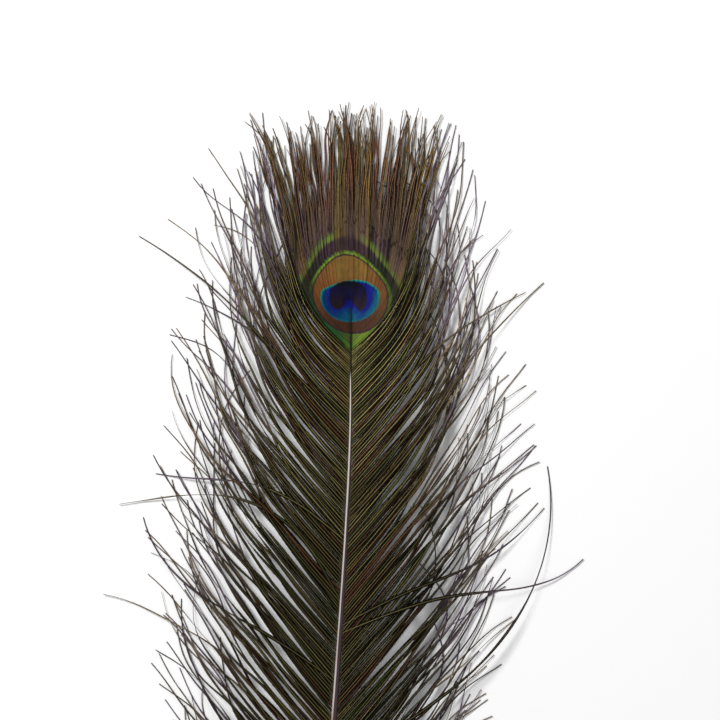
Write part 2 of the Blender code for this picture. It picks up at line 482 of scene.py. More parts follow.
class Value:
    """What a node puts out. The usual signs work on it, and each adds one node."""

    def __init__(self, book: NodeBook, socket: bpy.types.NodeSocket) -> None:
        """Keeps the output and the book that it belongs to."""
        self.book, self.socket = book, socket

    def __add__(self, other: Value | float) -> Value:
        """The sum."""
        return self.book.maths("ADD", self, other)

    def __sub__(self, other: Value | float) -> Value:
        """This number less the other."""
        return self.book.maths("SUBTRACT", self, other)

    def __rsub__(self, other: float) -> Value:
        """A plain number less this one."""
        return self.book.maths("SUBTRACT", other, self)

    def __mul__(self, other: Value | float) -> Value:
        """The product."""
        return self.book.maths("MULTIPLY", self, other)

    def __truediv__(self, other: Value | float) -> Value:
        """This number over the other."""
        return self.book.maths("DIVIDE", self, other)

    def __pow__(self, other: float) -> Value:
        """This number raised to a power."""
        return self.book.maths("POWER", self, other)

    def __abs__(self) -> Value:
        """This number without its sign."""
        return self.book.maths("ABSOLUTE", self)


class NodeBook:
    """Adds nodes to one tree and wires them."""

    def __init__(self, tree: bpy.types.NodeTree) -> None:
        """Takes the tree to write in."""
        self.tree = tree

    def node(self, kind: str, links: Links | None = None, **settings: object) -> bpy.types.Node:
        """Adds one node.

        Args:
            kind: Blender's name for the node.
            links: For each input, the output that feeds it or the value that it holds.
            settings: The node's own options.

        Returns:
            The node.
        """
        made = self.tree.nodes.new(kind)
        for key, value in settings.items():
            setattr(made, key, value)
        for key, value in (links or {}).items():
            self.feed(open_socket(made.inputs, key), value)
        return made

    def take(self, output: str | int, kind: str, links: Links | None = None, **settings: object) -> Value:
        """Adds one node, as above, and takes one of its outputs."""
        return Value(self, open_socket(self.node(kind, links, **settings).outputs, output))

    def feed(self, socket: bpy.types.NodeSocket, value: object) -> None:
        """Links an output to an input, or sets the input's own value.

        Args:
            socket: The input.
            value: The output, or the number, colour or name.
        """
        if isinstance(value, Value):
            self.tree.links.new(value.socket, socket)
        elif isinstance(value, tuple) and socket.type == "RGBA":
            socket.default_value = (*value, 1.0)
        else:
            socket.default_value = value

    def maths(self, operation: str, *values: Value | float, clamp: bool = False) -> Value:
        """One step of work on up to three numbers."""
        return self.take(0, "ShaderNodeMath", dict(enumerate(values)), operation=operation, use_clamp=clamp)

    def vectors(self, operation: str, first: Value, second: Value) -> Value:
        """One step of work on two directions."""
        return self.take("Vector", "ShaderNodeVectorMath", {0: first, 1: second}, operation=operation)

    def scaled(self, vector: Value, factor: Value | float) -> Value:
        """A direction or a colour times a number."""
        return self.take("Vector", "ShaderNodeVectorMath", {0: vector, "Scale": factor}, operation="SCALE")

    def axis(self, vector: Value, name: str) -> Value:
        """One of the three parts of a place or a direction."""
        return self.take(name, "ShaderNodeSeparateXYZ", {0: vector})


@dataclass(frozen=True)
class Barbules:
    """The sizes of one kind of barbule, each of which is an input of the tree that grows them."""

    spacing: float = 0.00065
    blade_width: float = 0.00039
    blade_thickness: float = 0.00005
    lean: float = 0.75             # radians towards the barb's tip
    closing: float = 0.45          # radians by which they lean more at its tip
    rise: float = 0.12             # radians out of the barb's flat
    unevenness: float = 0.25
    web_share: float = 0.42        # width of the flat web over the barbules' length
    sink: float = BARBULE_SINK
    shaft_sides: int = 3
    seed: int = 1


class BarbuleTree(NodeBook):
    """The Geometry Nodes tree that turns guides into barbs with barbules."""

    GUIDE_KEYS = ("ahead", "face", "reach", "girth")
    SWING = 0.8          # radians of lean for each unit of unevenness
    WEB_FLATNESS = 0.06
    WEB_SIDES = 4

    def __init__(self) -> None:
        """Builds the tree once."""
        super().__init__(bpy.data.node_groups.new("barbules", "GeometryNodeTree"))
        self.sockets = {}
        self.add_input("Guides", Socket.SHAPE)
        for size in fields(Barbules):
            kind = Socket.COUNT if isinstance(size.default, int) else Socket.NUMBER
            self.add_input(size.name, kind).default_value = size.default
        self.add_input("Finish", Socket.FINISH)
        self.tree.interface.new_socket(name="Barbs", in_out="OUTPUT", socket_type=Socket.SHAPE.value)
        self.inputs = self.node("NodeGroupInput").outputs
        self.build()

    def add_input(self, name: str, kind: Socket) -> bpy.types.NodeTreeInterfaceSocket:
        """Gives the tree one named input.

        Args:
            name: Its name, with _ for a space.
            kind: What it holds.

        Returns:
            The input.
        """
        title = name.replace("_", " ").title()
        made = self.tree.interface.new_socket(name=title, in_out="INPUT", socket_type=kind.value)
        self.sockets[name] = made.identifier
        return made

    def given(self, name: str) -> Value:
        """What the tree's input of that name holds."""
        return Value(self, self.inputs[name])

    def stored(self, name: str, kind: str = "FLOAT") -> Value:
        """The values stored on the guides under a name."""
        return self.take("Attribute", "GeometryNodeInputNamedAttribute", {"Name": name}, data_type=kind)

    def marked(self, shape: Value, name: str, value: Value | float) -> Value:
        """Stores a number on every point of a shape."""
        return self.take("Geometry", "GeometryNodeStoreNamedAttribute",
                         {"Geometry": shape, "Name": name, "Value": value}, data_type="FLOAT", domain="POINT")

    def circle(self, sides: Value | int) -> Value:
        """A round of unit radius."""
        return self.take("Curve", "GeometryNodeCurvePrimitiveCircle", {"Resolution": sides, "Radius": 1.0})

    def swept(self, lines: Value, section: Value, size: Value) -> Value:
        """Draws a section along curves into closed bodies."""
        return self.take("Mesh", "GeometryNodeCurveToMesh", {
            "Curve": lines, "Profile Curve": section, "Scale": size, "Fill Caps": True})

    def chance(self, low: Value | float, high: Value | float, use: int) -> Value:
        """A random number for each barbule; each use has its own."""
        links = {"Min": low, "Max": high, "Seed": self.given("Seed") + float(use)}
        return self.take("Value", "FunctionNodeRandomValue", links, data_type="FLOAT")

    def blade(self) -> Value:
        """One barbule of unit length: a closed three-sided spike that knows its own height."""
        cone = self.take("Mesh", "GeometryNodeMeshCone", {"Vertices": 3, "Radius Top": 0.0, "Depth": 1.0})
        return self.marked(cone, "blade", self.axis(self.take("Position", "GeometryNodeInputPosition"), "Z"))

    def barbules(self, places: Value, blade: Value, side: Side) -> Value:
        """Sets one row of barbules along every barb.

        Args:
            places: The points that carry them.
            blade: The barbule.
            side: The side of the barb that they grow on.

        Returns:
            The instances.
        """
        ahead, face = self.stored("ahead", "FLOAT_VECTOR"), self.stored("face", "FLOAT_VECTOR")
        across = self.scaled(self.vectors("CROSS_PRODUCT", ahead, face), float(side.value))
        uneven = self.given("Unevenness")
        swing = self.chance(uneven * -self.SWING, uneven * self.SWING, 10 + side.value)
        lean = self.given("Lean") + swing + self.stored("along") * self.given("Closing")
        rise = self.given("Rise") + self.chance(uneven * -1.0, uneven, 20 + side.value)
        forward = self.scaled(ahead, self.maths("SINE", lean))
        outward = self.scaled(across, self.maths("COSINE", lean))
        upward = self.scaled(face, self.maths("SINE", rise))
        way = self.vectors("ADD", self.vectors("ADD", forward, outward), upward)
        axes = {"Primary Axis": way, "Secondary Axis": face}
        turned = self.take("Rotation", "FunctionNodeAxesToRotation", axes,
                           primary_axis="Z", secondary_axis="Y")
        length = self.stored("reach") * self.chance(1.0 - uneven, 1.0, 30 + side.value)
        scale = self.take("Vector", "ShaderNodeCombineXYZ", {
            "X": self.given("Blade Width"), "Y": self.given("Blade Thickness"), "Z": length})
        return self.take("Instances", "GeometryNodeInstanceOnPoints", {
            "Points": places, "Instance": blade, "Rotation": turned, "Scale": scale})

    def webs(self, lines: Value) -> Value:
        """Lays a thin flat web along every barb, where the feet of its barbules stand side by side.

        Args:
            lines: The courses that the webs follow.

        Returns:
            The webs, or nothing where their share of the barbules' length is 0.
        """
        turned = self.take("Curve", "GeometryNodeSetCurveNormal", {
            "Curve": lines, "Normal": self.stored("face", "FLOAT_VECTOR")}, mode="FREE")
        section = self.take("Geometry", "GeometryNodeTransform", {
            "Geometry": self.circle(self.WEB_SIDES), "Scale": (self.WEB_FLATNESS, 1.0, 1.0)})
        flank = abs(self.axis(self.take("Position", "GeometryNodeInputPosition"), "Y"))
        share = self.given("Web Share")
        webs = self.swept(turned, self.marked(section, "ridge", 1.0 - flank), self.stored("reach") * share)
        wanted = self.take("Result", "FunctionNodeCompare", {0: share, 1: 0.01},
                           data_type="FLOAT", operation="GREATER_THAN")
        choice = {"Switch": wanted, "True": webs}
        return self.take("Output", "GeometryNodeSwitch", choice, input_type="GEOMETRY")

    def build(self) -> None:
        """Wires the tree: shafts, webs, two rows of barbules, real mesh and finish."""
        lines = self.take("Curve", "GeometryNodeMeshToCurve", {"Mesh": self.given("Guides")})
        down = self.scaled(self.stored("face", "FLOAT_VECTOR"), self.given("Sink") * -1.0)
        sunk = self.take("Geometry", "GeometryNodeSetPosition", {"Geometry": lines, "Offset": down})
        shafts = self.swept(lines, self.circle(self.given("Shaft Sides")), self.stored("girth"))
        places = self.take("Points", "GeometryNodeCurveToPoints",
                           {"Curve": sunk, "Length": self.given("Spacing")}, mode="LENGTH")
        blade = self.blade()
        joined = self.node("GeometryNodeJoinGeometry")
        rows = [self.barbules(places, blade, side) for side in Side]
        for part in (self.marked(shafts, "shaft", 1.0), self.webs(sunk), *rows):
            self.feed(joined.inputs["Geometry"], part)
        real = self.take("Geometry", "GeometryNodeRealizeInstances", {
            "Geometry": Value(self, joined.outputs["Geometry"])})
        dressed = self.take("Geometry", "GeometryNodeSetMaterial", {
            "Geometry": real, "Material": self.given("Finish")})
        self.node("NodeGroupOutput", {"Barbs": dressed})

    def grow(self, name: str, guides: Guides, finish: bpy.types.Material,
             sizes: Barbules) -> bpy.types.Object:
        """Grows barbs on guides and turns them into one plain mesh.

        Args:
            name: Name of the piece.
            guides: The courses of the barbs.
            finish: Material of the piece.
            sizes: The sizes of the barbules.

        Returns:
            The piece.
        """
        carrier = stand(name + "_guides", guides.mesh(name + "_guides"))
        modifier = carrier.modifiers.new("barbules", "NODES")
        modifier.node_group = self.tree
        modifier[self.sockets["Finish"]] = finish
        for key, value in vars(sizes).items():
            modifier[self.sockets[key]] = value
        grown = bpy.data.meshes.new_from_object(carrier.evaluated_get(bpy.context.evaluated_depsgraph_get()))
        bpy.data.objects.remove(carrier, do_unlink=True)
        grown.name = name
        for key in self.GUIDE_KEYS:
            grown.attributes.remove(grown.attributes[key])
        return stand(name, grown)


@dataclass(frozen=True)
class Tint:
    """A colour that comes in as some value passes from one number to another."""

    red: int
    green: int
    blue: int
    start: float = 0.0
    full: float = 1.0
    strength: float = 1.0

    def colour(self) -> Colour:
        """The colour as a shader takes it."""
        return screen_colour(self.red, self.green, self.blue)


class FinishBook(NodeBook):
    """The nodes of one material."""

    def __init__(self, name: str) -> None:
        """Starts a material.

        Args:
            name: Name of the material.
        """
        self.material = bpy.data.materials.new(name)
        self.material.use_nodes = True
        super().__init__(self.material.node_tree)
        self.shader = self.tree.nodes["Principled BSDF"]

    def finish(self, looks: dict[str, Value | Colour | float]) -> bpy.types.Material:
        """Hands each look to the shader's own socket.

        Args:
            looks: The shader's inputs by name, with what feeds them or the constant that they hold.

        Returns:
            The material.
        """
        for name, value in looks.items():
            self.feed(self.shader.inputs[name], value)
        return self.material

    def ease(self, value: Value, low: float, high: float, top: float = 1.0) -> Value:
        """Rises smoothly from 0 at low to top at high; with low above high it falls."""
        start, end = (0.0, top) if low < high else (top, 0.0)
        return self.take("Result", "ShaderNodeMapRange", {
            "Value": value, "From Min": min(low, high), "From Max": max(low, high),
            "To Min": start, "To Max": end,
        }, interpolation_type="SMOOTHSTEP")

    def blend(self, share: Value | float, first: Value | Colour, second: Value | Colour) -> Value:
        """Mixes two colours."""
        links = {"Factor": share, "A": first, "B": second}
        return self.take("Result", "ShaderNodeMix", links, data_type="RGBA")

    def tinted(self, value: Value, tints: tuple[Tint, ...]) -> Value | Colour:
        """Lays tints over the first of them, each from where the value reaches its start.

        Args:
            value: The value that chooses.
            tints: The tints, from the lowest layer up.

        Returns:
            The colour.
        """
        colour = tints[0].colour()
        for tint in tints[1:]:
            colour = self.blend(self.ease(value, tint.start, tint.full, tint.strength), colour, tint.colour())
        return colour

    def stored(self, name: str) -> Value:
        """A number stored on the mesh."""
        return self.take("Fac", "ShaderNodeAttribute", attribute_name=name)

    def combed(self, depth: Value | float) -> Value:
        """A factor about 1 that draws the barbules that a web stands for as light and dark lines."""
        ahead = self.stored("ridge") * 0.7 + self.stored("gone")
        return self.maths("SINE", ahead * (2.0 * np.pi / BARBULE_LINES)) * 0.5 * depth + 1.0

    def underside(self) -> Value:
        """1 where the skin looks down and 0 where it looks up."""
        return self.ease(self.axis(self.take("Normal", "ShaderNodeNewGeometry"), "Z"), 0.05, -0.15)

    def millimetres(self, axis: str, origin: float = 0.0) -> Value:
        """Millimetres along X or Y, from an origin given in millimetres."""
        return self.axis(self.take("Object", "ShaderNodeTexCoord"), axis) / MILLIMETRE - origin

    def noise(self, scale: float, detail: float,
              stretch: tuple[float, float, float] = (1.0, 1.0, 1.0)) -> Value:
        """Smooth random values from 0 to 1, fixed to the piece.

        Args:
            scale: Waves in a metre.
            detail: Finer layers.
            stretch: Factors on the three axes.

        Returns:
            The values.
        """
        place = self.take("Object", "ShaderNodeTexCoord")
        moved = self.take("Vector", "ShaderNodeMapping", {"Vector": place, "Scale": stretch})
        return self.take("Fac", "ShaderNodeTexNoise", {"Vector": moved, "Scale": scale, "Detail": detail})

    def oval(self, across: Value, along: Value, half: Span, centre: Span = (0.0, 0.0)) -> Value:
        """Distance from an oval's centre in its own radii: 1 on its edge."""
        right, up = (across - centre[0]) / half[0], (along - centre[1]) / half[1]
        return self.maths("SQRT", right * right + up * up)


@dataclass(frozen=True)
class EyeFinish:
    """The eye's pattern, in millimetres from the middle of its bronze oval.

    A Span says where something starts to show and where it shows in full.
    """

    centre: Span = (-0.4, 163.0)
    bronze_half: Span = (18.7, 19.6)
    bronze_skew: float = 0.1
    egg_shape: float = 0.2              # share by which the ovals narrow towards their top
    arch_half: Span = (26.3, 29.8)      # the green arch outside the bronze
    streaks: Span = (0.35, 1.6)         # how far a barb's tone shifts the inner and the outer edges
    # Spans of the distance in an oval's own radii.
    arch_outside: Span = (1.14, 1.01)
    arch_inside: Span = (0.93, 0.99)
    shade_edge: Span = (1.0, 0.92)
    green_edge: Span = (1.13, 1.075)
    plum_edge: Span = (1.035, 1.01)
    bronze_edge: Span = (1.0, 0.965)
    uneven_edge: Span = (1.0, 1.3)
    shaft_edge: Span = (1.3, 1.7)
    loose_edge: Span = (1.5, 2.4)
    # Spans of the height, and of the distance to one side or, with _sides, to either.
    tips_height: Span = (28.0, 72.0)
    plum_height: Span = (14.0, 22.0)
    lime_height: Span = (-1.0, 9.0)
    lime_across: Span = (-7.0, 6.0)
    dim_height: Span = (14.0, 4.0)
    dim_foot: Span = (-16.0, -12.0)
    green_foot: Span = (-12.0, -17.0)
    arch_sides: Span = (2.0, 10.0)
    copper_height: Span = (-16.0, 3.0)
    crown_height: Span = (2.0, 11.0)
    crown_sides: Span = (18.0, 5.0)
    gold_height: Span = (0.0, 6.0)
    olive_across: Span = (9.0, 15.0)
    # The blue bowl and the dark heart in it.
    blue_centre: Span = (-0.1, -1.5)
    blue_half: Span = (14.9, 12.6)
    blue_crest: Span = (3.6, 7.2)       # the highest point of its upper edge
    crest_fall: Span = (0.016, 0.028)   # how fast that edge falls away, and how much faster on the right
    lobes: tuple[tuple[Span, Span], ...] = (    # the heart's ovals: middle and half sizes
        ((-6.1, -1.5), (4.5, 6.2)),
        ((4.3, -1.8), (4.2, 7.0)),
        ((-0.8, 1.8), (8.3, 4.9)),
    )
    notch: float = -2.9
    notch_slope: float = 0.9
    # What grows outside the bronze, by each barb's hue.
    fringe: tuple[Tint, ...] = (
        Tint(26, 19, 19),                        # dark umber
        Tint(78, 58, 68, 0.0, 0.22),             # heather
        Tint(82, 60, 52, 0.3, 0.45),             # umber
        Tint(104, 88, 38, 0.55, 0.7, 0.85),      # honey
        Tint(92, 54, 40, 0.8, 0.92, 0.85),       # russet
    )
    tips: tuple[Tint, ...] = (
        Tint(128, 72, 46),                       # ember
        Tint(138, 106, 44, 0.25, 0.4),           # brass
        Tint(102, 102, 48, 0.72, 0.85),          # sage
    )
    gold: Colour = screen_colour(123, 95, 43)
    copper: Colour = screen_colour(120, 74, 36)
    chestnut: Colour = screen_colour(74, 45, 31)
    plum: Colour = screen_colour(52, 36, 44)
    lime: Colour = screen_colour(106, 134, 36)
    emerald: Colour = screen_colour(36, 84, 42)
    pine: Colour = screen_colour(26, 36, 22)
    olive: Colour = screen_colour(74, 68, 40)
    straw: Colour = screen_colour(150, 128, 96)
    drab: Colour = screen_colour(70, 60, 52)
    teal: Colour = screen_colour(14, 128, 108)
    azure: Colour = screen_colour(5, 48, 104)
    ultramarine: Colour = screen_colour(10, 18, 118)
    turquoise: Colour = screen_colour(5, 86, 118)
    night: Colour = screen_colour(3, 3, 12)
    indigo: Colour = screen_colour(13, 8, 48)
    mulberry: Colour = screen_colour(32, 20, 26)

    def material(self, name: str) -> bpy.types.Material:
        """Paints the eye and the fringe.

        Args:
            name: Name of the material.

        Returns:
            The material.
        """
        book = FinishBook(name)
        ease, blend = book.ease, book.blend
        across, along = (book.millimetres(axis, origin) for axis, origin in zip("XY", self.centre))
        tone, hue, ridge = (book.stored(key) for key in ("tone", "hue", "ridge"))
        sideways = abs(across)
        calm, streaked = ((tone - 0.5) * depth + along for depth in self.streaks)
        narrowed = 1.0 - ease(along, 0.0, self.bronze_half[1], self.egg_shape)
        leaning = (along * self.bronze_skew + across) / narrowed
        rim = book.oval(leaning, calm, self.bronze_half)
        wild_rim = book.oval(leaning, streaked, self.bronze_half)
        arch = book.oval(leaning, streaked, self.arch_half)

        tips = ease(along, *self.tips_height, 0.7)
        brown = blend(tips, book.tinted(hue, self.fringe), book.tinted(hue, self.tips))
        sunny = ease(across, *self.lime_across) + ease(along, *self.lime_height)
        green = blend(ease(hue, 0.45, 1.0, 0.75), blend(sunny, self.emerald, self.lime), self.olive)
        outer = ease(arch, *self.arch_inside) * ease(arch, *self.arch_outside)
        outer = outer * ease(sideways, *self.arch_sides) * ease(hue, 1.05, 0.35, 0.72)
        colour = blend(outer, brown, blend(0.25, green, self.pine))
        shade = blend(ease(along, *self.plum_height), self.pine, self.plum)
        colour = blend(ease(arch, *self.shade_edge, 0.85), colour, shade)
        dim = ease(along, *self.dim_height, 0.5) * ease(along, *self.dim_foot)
        ring = ease(wild_rim, *self.green_edge) + ease(along, *self.green_foot)
        colour = blend(ring, colour, blend(dim, green, self.pine))
        colour = blend(ease(rim, *self.plum_edge), colour, self.plum)

        bronze = blend(ease(along, *self.copper_height), self.chestnut, self.copper)
        crown = ease(along, *self.crown_height) * ease(sideways, *self.crown_sides)
        crown = book.maths("ADD", crown, (hue - 0.5) * 0.8, clamp=True)
        bronze = blend(crown * ease(along, *self.gold_height), bronze, self.gold)
        bronze = blend(ease(across, *self.olive_across, 0.2), bronze, self.olive)
        colour = blend(ease(rim, *self.bronze_edge), colour, bronze)
        colour = self.blue_heart(book, colour, across, calm)

        speckle = book.noise(900.0, 2.0, (1.0, 0.35, 1.0))
        loose = ease(rim, *self.loose_edge)
        light = (tone - 0.5) * (ease(rim, *self.uneven_edge) * 0.8 + 0.6) + 1.0
        light = light * (speckle * 0.8 + 0.6) * (book.stored("blade") * 0.35 + 0.85)
        # On loose fringe barbs the middle of each web is painted lighter as a sheen and its edges darker as
        # painted shade between barbs.
        light = light * (loose * (ridge * ridge * 1.4 - 0.6) + 1.0) * book.combed(loose * 0.6)
        colour = book.scaled(colour, light)
        colour = blend(book.stored("shaft") * ease(rim, *self.shaft_edge, 0.75), colour, self.straw)
        colour = blend(book.underside() * 0.8, colour, self.drab)
        return book.finish({
            "Base Color": colour, "Roughness": speckle * 0.2 + 0.34,
            "Metallic": 0.35, "Specular IOR Level": 0.15,
        })

    def blue_heart(self, book: FinishBook, ground: Value, across: Value, along: Value) -> Value:
        """Paints the blue bowl and its dark two-lobed heart over the bronze.

        Args:
            book: The material's nodes.
            ground: The colour under it.
            across: Millimetres to the right of the eye's middle.
            along: Millimetres above the eye's middle.

        Returns:
            The colour.
        """
        ease, blend = book.ease, book.blend
        bowl = book.oval(across, along, self.blue_half, self.blue_centre)
        from_crest = across - self.blue_crest[0]
        fall = ease(from_crest, -1.0, 1.0) * self.crest_fall[1] + self.crest_fall[0]
        crest = self.blue_crest[1] - from_crest * from_crest * fall - along
        inside = book.maths("SMOOTH_MIN", (1.0 - bowl) * 13.0, crest, 1.2)
        heart = None
        for centre, half in self.lobes:
            lobe = (1.0 - book.oval(across, along, half, centre)) * min(half)
            heart = lobe if heart is None else book.maths("SMOOTH_MAX", heart, lobe, 0.8)
        notch = abs(across + 0.4) - (self.notch - along) * self.notch_slope
        heart = book.maths("SMOOTH_MIN", heart, notch * 0.7, 0.8)

        glow = ease(across, -6.0, 4.0, 2.2) + heart
        blue = blend(ease(glow, -2.4, 0.6), self.azure, self.ultramarine)
        low_middle = ease(along, -5.5, -13.0) * ease(abs(across), 9.0, 1.0)
        flank = ease(across, 3.0, 10.0) * ease(along, 4.0, -3.0) * ease(inside, 3.6, 1.4)
        blue = blend(flank, blend(low_middle, blue, self.turquoise), self.turquoise)
        blue = blend(ease(inside, 1.35, 0.35) * (ease(along, -7.0, 0.0) * 0.7 + 0.3), blue, self.teal)
        dark = blend(ease(along, 6.5, 0.5), self.night, self.indigo)
        dark = blend(ease(abs(across + 0.8), 1.0, 4.0) * ease(along, 3.0, -6.0), dark, self.mulberry)
        blue = blend(ease(heart, -0.5, 0.55), blue, dark)
        return blend(ease(inside, -0.12, 0.18), ground, blue)


@dataclass(frozen=True)
class BarbFinish:
    """Loose barbs: dark barbules with a green and copper sheen on light shafts."""

    inner: tuple[Tint, ...] = (
        Tint(15, 11, 11),                        # bark
        Tint(31, 30, 15, 0.38, 0.75),            # moss
        Tint(58, 32, 20, 0.62, 0.95, 0.8),       # copper
    )
    outer: tuple[Tint, ...] = (
        Tint(86, 73, 92),                        # smoke
        Tint(100, 88, 70, 0.35, 0.65),           # reed
    )
    shafts: tuple[Tint, ...] = (
        Tint(156, 144, 84),                      # straw
        Tint(146, 98, 62, 0.62, 0.8),            # ginger
        Tint(96, 116, 58, 0.86, 0.94),           # leaf
    )
    slate: Colour = screen_colour(98, 84, 88)
    down: Colour = screen_colour(112, 102, 94)
    outer_share: Span = (0.35, 0.75)    # of a barb's length, where its outer colours come in
    slate_share: Span = (0.3, 0.9)
    # Over this span of height the barbs and shafts go from painted shade below to full painted light above.
    lit_height: Span = (0.0, 150.0)     # millimetres, as is the next
    down_height: Span = (-130.0, -200.0)

    def material(self, name: str) -> bpy.types.Material:
        """Mixes the barbs' colours barb by barb and along each, with painted shade that deepens towards the
        foot of the feather and a painted sheen line along the middle of each web.

        Args:
            name: Name of the material.

        Returns:
            The material.
        """
        book = FinishBook(name)
        ease, blend = book.ease, book.blend
        tone, hue, along = (book.stored(key) for key in ("tone", "hue", "along"))
        height, grain = book.millimetres("Y"), book.noise(1500.0, 1.0)
        greener = hue * 0.6 + book.noise(70.0, 3.0) * 0.6
        outer, upper = ease(along, *self.outer_share), ease(height, *self.lit_height)
        barbule = blend(outer * 0.85, book.tinted(greener, self.inner), book.tinted(hue, self.outer))
        shaft = blend(ease(along, *self.slate_share, 0.7), book.tinted(hue, self.shafts), self.slate)
        light = (tone ** 1.7 * 1.3 + 0.4) * (grain * 0.6 + 0.7)
        # Painted shade by height, held off the outer parts of each barb.
        lit = book.maths("MAXIMUM", upper * 0.74 + 0.3, outer * 0.85)
        shade = light * lit * book.combed(0.7) * (book.stored("blade") * 0.5 + 0.6) * (outer * 1.7 + 1.0)
        # The shafts get the same painted shade by height.
        shaft = book.scaled(shaft, (light * 0.6 + 0.4) * (upper * 0.53 + 0.52))
        # Each shaft's own colour, also spread over the middle of each web as a painted sheen line.
        shaft_and_painted_sheen = book.maths("MAXIMUM", book.stored("shaft"), book.stored("ridge") ** 3.0 * 0.4)
        colour = blend(shaft_and_painted_sheen, book.scaled(barbule, shade), shaft)
        colour = blend(ease(height, *self.down_height, 0.85), colour, self.down)
        return book.finish({
            "Base Color": colour, "Roughness": grain * 0.2 + 0.36,
            "Metallic": 0.3, "Specular IOR Level": 0.12,
        })


@dataclass(frozen=True)
class HornFinish:
    """The quill: cream-white face, dark right flank, dark fine end and clear horn at the cut."""

    cream: Colour = screen_colour(194, 185, 181)
    tan: Colour = screen_colour(150, 118, 92)
    flank: Colour = screen_colour(58, 42, 46)
    fine_end: Colour = screen_colour(16, 13, 14)
    clear: Colour = screen_colour(206, 196, 176)
    # Spans of the height in millimetres.
    tan_height: Span = (10.0, -70.0)
    pith_height: Span = (-258.0, -238.0)
    barbed_height: Span = (-225.0, -190.0)
    dark_height: Span = (119.0, 125.0)
    coat_height: Span = (119.0, 112.0)
    wide_foot: Span = (-180.0, -60.0)   # the dark flank is widest between this and the next
    wide_top: Span = (70.0, 10.0)

    def material(self, name: str) -> bpy.types.Material:
        """Paints the quill by its height and by the side that it turns.

        Args:
            name: Name of the material.

        Returns:
            The material.
        """
        book = FinishBook(name)
        ease, blend = book.ease, book.blend
        height = book.stored("height")
        mottle = book.noise(120.0, 3.0, (1.0, 0.25, 1.0))
        streaks = book.noise(700.0, 2.0, (1.0, 0.04, 1.0))
        barbed = ease(height, *self.barbed_height)
        face = blend(ease(height, *self.tan_height) * ease(mottle, 0.35, 0.65), self.cream, self.tan)
        bare = blend(ease(streaks, 0.42, 0.68, 0.5), self.clear, self.tan)
        bare = blend(ease(mottle, 0.4, 0.7, 0.6) * ease(height, *self.pith_height), bare, self.cream)
        wider = ease(height, *self.wide_top, 0.4) * ease(height, *self.wide_foot)
        flank = ease(wider + (mottle * 0.5 + book.stored("turned")), 0.12, 0.42) * barbed
        colour = blend(flank, blend(barbed, bare, face), self.flank)
        return book.finish({
            "Base Color": blend(ease(height, *self.dark_height), colour, self.fine_end),
            "Roughness": mottle * 0.25 + 0.25, "Coat Weight": ease(height, *self.coat_height, 0.15),
            "Coat Roughness": 0.3, "Specular IOR Level": 0.2,
        })


@dataclass(frozen=True)
class Quill:
    """The quill, from its hollow cut end to the fine end in the eye."""

    line: QuillLine = QuillLine()
    stations: int = 150
    sides: int = 16
    wall: float = 0.0005
    hollow: float = 0.009           # depth of the hollow at the cut end
    hollow_rings: int = 4
    hollow_end: float = 0.25        # width of its inner end over its own
    groove: float = 0.22            # depth of the groove underneath over the radius
    groove_height: Span = (-0.2, -0.12)
    last_step: Span = (0.0004, 0.0006)
    last_width: float = 0.2

    def rings(self) -> tuple[np.ndarray, np.ndarray, np.ndarray]:
        """Lays out the skin and the hollow end, ring by ring.

        Returns:
            The points, and each one's height in millimetres and turn to the right.
        """
        outer = np.linspace(self.line.start, self.line.heart + self.last_step[0], self.stations)
        outer[-1] = self.line.heart + self.last_step[1]
        angles = 2.0 * np.pi * (np.arange(self.sides) + 0.5) / self.sides
        points, heights = [], []
        inner = np.linspace(self.line.start + self.hollow, self.line.start, self.hollow_rings)
        for index, height in enumerate(np.concatenate((inner, outer))):
            middle, radius = self.line.middle(height), float(self.line.radius(height))
            if index < len(inner):
                size = (radius - self.wall) * (self.hollow_end if index == 0 else 1.0)
            else:
                size = radius * (1.0 if height < self.line.heart else self.last_width)
            dent = 1.0 - self.groove * ease(height, *self.groove_height)
            depth = np.where(np.sin(angles) < -0.8, dent, 1.0)
            points.append(np.stack((
                middle[0] + size * np.cos(angles),
                np.full(self.sides, height),
                middle[2] + size * self.line.flatness * np.sin(angles) * depth,
            ), axis=1))
            heights.append(np.full(self.sides, height / MILLIMETRE))
        return np.concatenate(points), np.concatenate(heights), np.tile(np.cos(angles), len(points))

    def make(self, finish: bpy.types.Material) -> bpy.types.Object:
        """Builds the quill as one closed skin.

        Args:
            finish: Its material.

        Returns:
            The piece.
        """
        points, heights, turns = self.rings()
        faces = tube_walls(0, len(points) // self.sides, self.sides)
        faces.append(tuple(range(self.sides)))
        faces.append(tuple(reversed(range(len(points) - self.sides, len(points)))))
        piece = skin("quill", points, faces, finish, height=heights, turned=turns)
        piece.data.set_sharp_from_angle(angle=np.radians(SHARP_EDGE))
        return piece


@dataclass
class VaneBarb(Barb):
    """A barb of the closed vane."""

    side: Side
    across: np.ndarray     # directions across its length
    spacing: np.ndarray    # distance to its neighbours at each place


